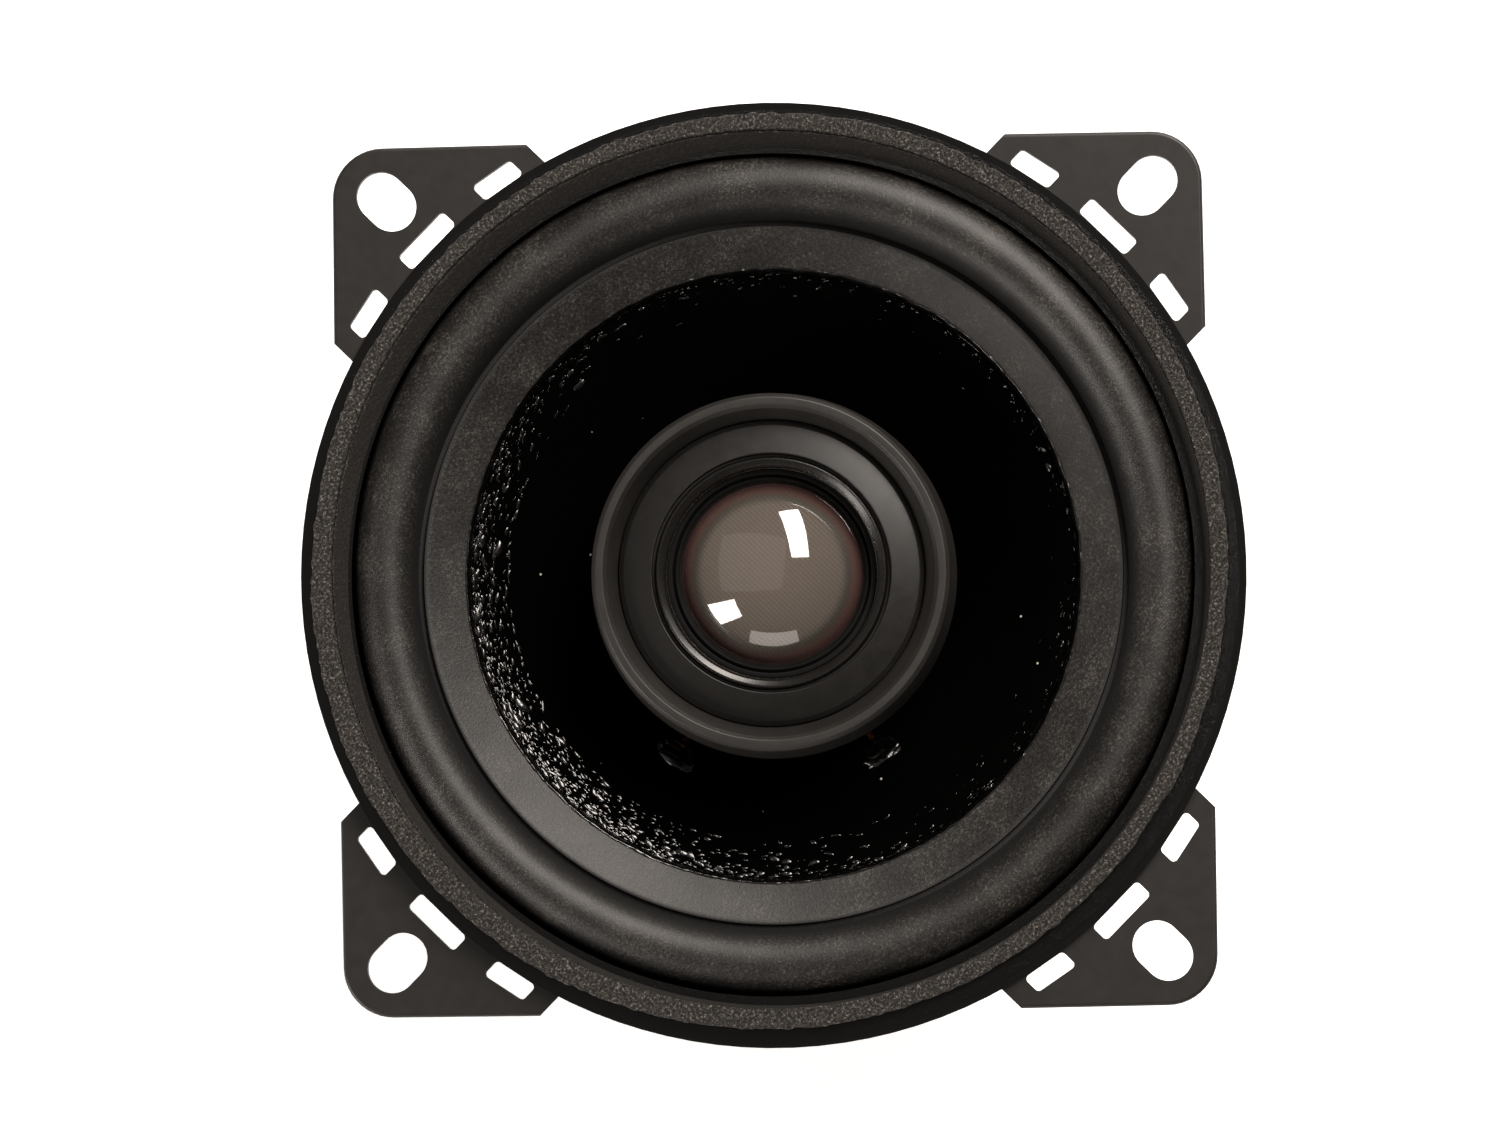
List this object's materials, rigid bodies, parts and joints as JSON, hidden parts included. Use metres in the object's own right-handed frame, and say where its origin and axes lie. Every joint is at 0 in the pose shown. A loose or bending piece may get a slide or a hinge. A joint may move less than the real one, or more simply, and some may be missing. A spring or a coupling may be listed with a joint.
{
  "type": "coaxial car speaker",
  "caption": "Round coaxial car loudspeaker with a foam-edged flange, slotted snap-off ears, rubber half-roll surround, black cone and a post-mounted dome tweeter.",
  "frame": {"origin": "centre of the mounting plane, on the speaker's axis, level with the rear face of the ears", "axes": "+Z along the speaker's axis, out of its front; +X and +Y through the middle of two neighbouring ears"},
  "size_m": [0.127, 0.127, 0.0511],
  "materials": {
    "black_steel": "satin black paint on pressed steel",
    "zinc_steel": "zinc plated",
    "ferrite": "sintered, dark grey",
    "foam": "speckled fibrous foam",
    "surround_rubber": "matt",
    "cone_paper": "coated black pulp",
    "black_glue": "dried glossy adhesive",
    "spider_cloth": "resin-treated cotton weave",
    "aluminium": "rolled sheet",
    "copper": "enamelled wire",
    "black_plastic": "satin moulded",
    "tweeter_steel": "nickel plated",
    "dome_film": "clear glossy film",
    "dome_cloth": "fine diagonal weave",
    "halo_rubber": "soft black",
    "fibre_board": "phenolic paper board",
    "tin_brass": "tin plated",
    "capacitor_sleeve": "shrunk sleeve",
    "clear_glue": "hot-melt adhesive",
    "red_wire": "insulation",
    "black_wire": "insulation",
    "tinsel": "braided tinsel"
  },
  "bodies": {
    "frame": {"basket": "black_steel", "front_gasket": "foam", "top_plate": "zinc_steel", "ferrite_magnet": "ferrite", "back_plate_and_pole": "zinc_steel", "basket_rivets": "zinc_steel", "tweeter_post": "aluminium", "post_washer": "zinc_steel", "post_nut": "zinc_steel", "tweeter_housing": "black_plastic", "tweeter_pot": "tweeter_steel", "tweeter_magnet": "tweeter_steel", "tweeter_pole_plate": "tweeter_steel", "tweeter_face_plate": "black_plastic", "tweeter_clamp_ring": "black_plastic", "terminal_board": "fibre_board", "positive_blade": "tin_brass", "negative_blade": "tin_brass", "terminal_rivets": "tin_brass", "board_rivet": "zinc_steel", "capacitor": "capacitor_sleeve", "capacitor_adhesive": "clear_glue", "capacitor_leads": "tin_brass", "tweeter_lead_negative": "black_wire", "tweeter_lead_positive": "red_wire"},
    "woofer": {"cone": "cone_paper", "surround_adhesive": "black_glue", "neck_adhesive": "black_glue", "surround": "surround_rubber", "spider": "spider_cloth", "voice_coil_former": "aluminium", "voice_coil": "copper", "lead_glue_dots": "black_glue", "coil_leads": "copper", "tinsel_lead_positive": "tinsel", "tinsel_lead_negative": "tinsel"},
    "tweeter_diaphragm": {"tweeter_dome": "dome_film", "tweeter_dome_cloth": "dome_cloth", "tweeter_surround": "halo_rubber", "tweeter_coil_former": "aluminium", "tweeter_coil": "copper"}
  },
  "joints": [
    {"name": "woofer_travel", "type": "slide", "parent": "frame", "child": "woofer", "axis": [0, 0, 1], "range_m": [-0.003, 0.003], "stiffness_N_per_m": 1500, "deforming": ["surround", "spider", "tinsel_lead_positive", "tinsel_lead_negative"]},
    {"name": "tweeter_travel", "type": "slide", "parent": "frame", "child": "tweeter_diaphragm", "axis": [0, 0, 1], "range_m": [-0.0003, 0.0003], "stiffness_N_per_m": 2000, "deforming": ["tweeter_surround"]}
  ]
}
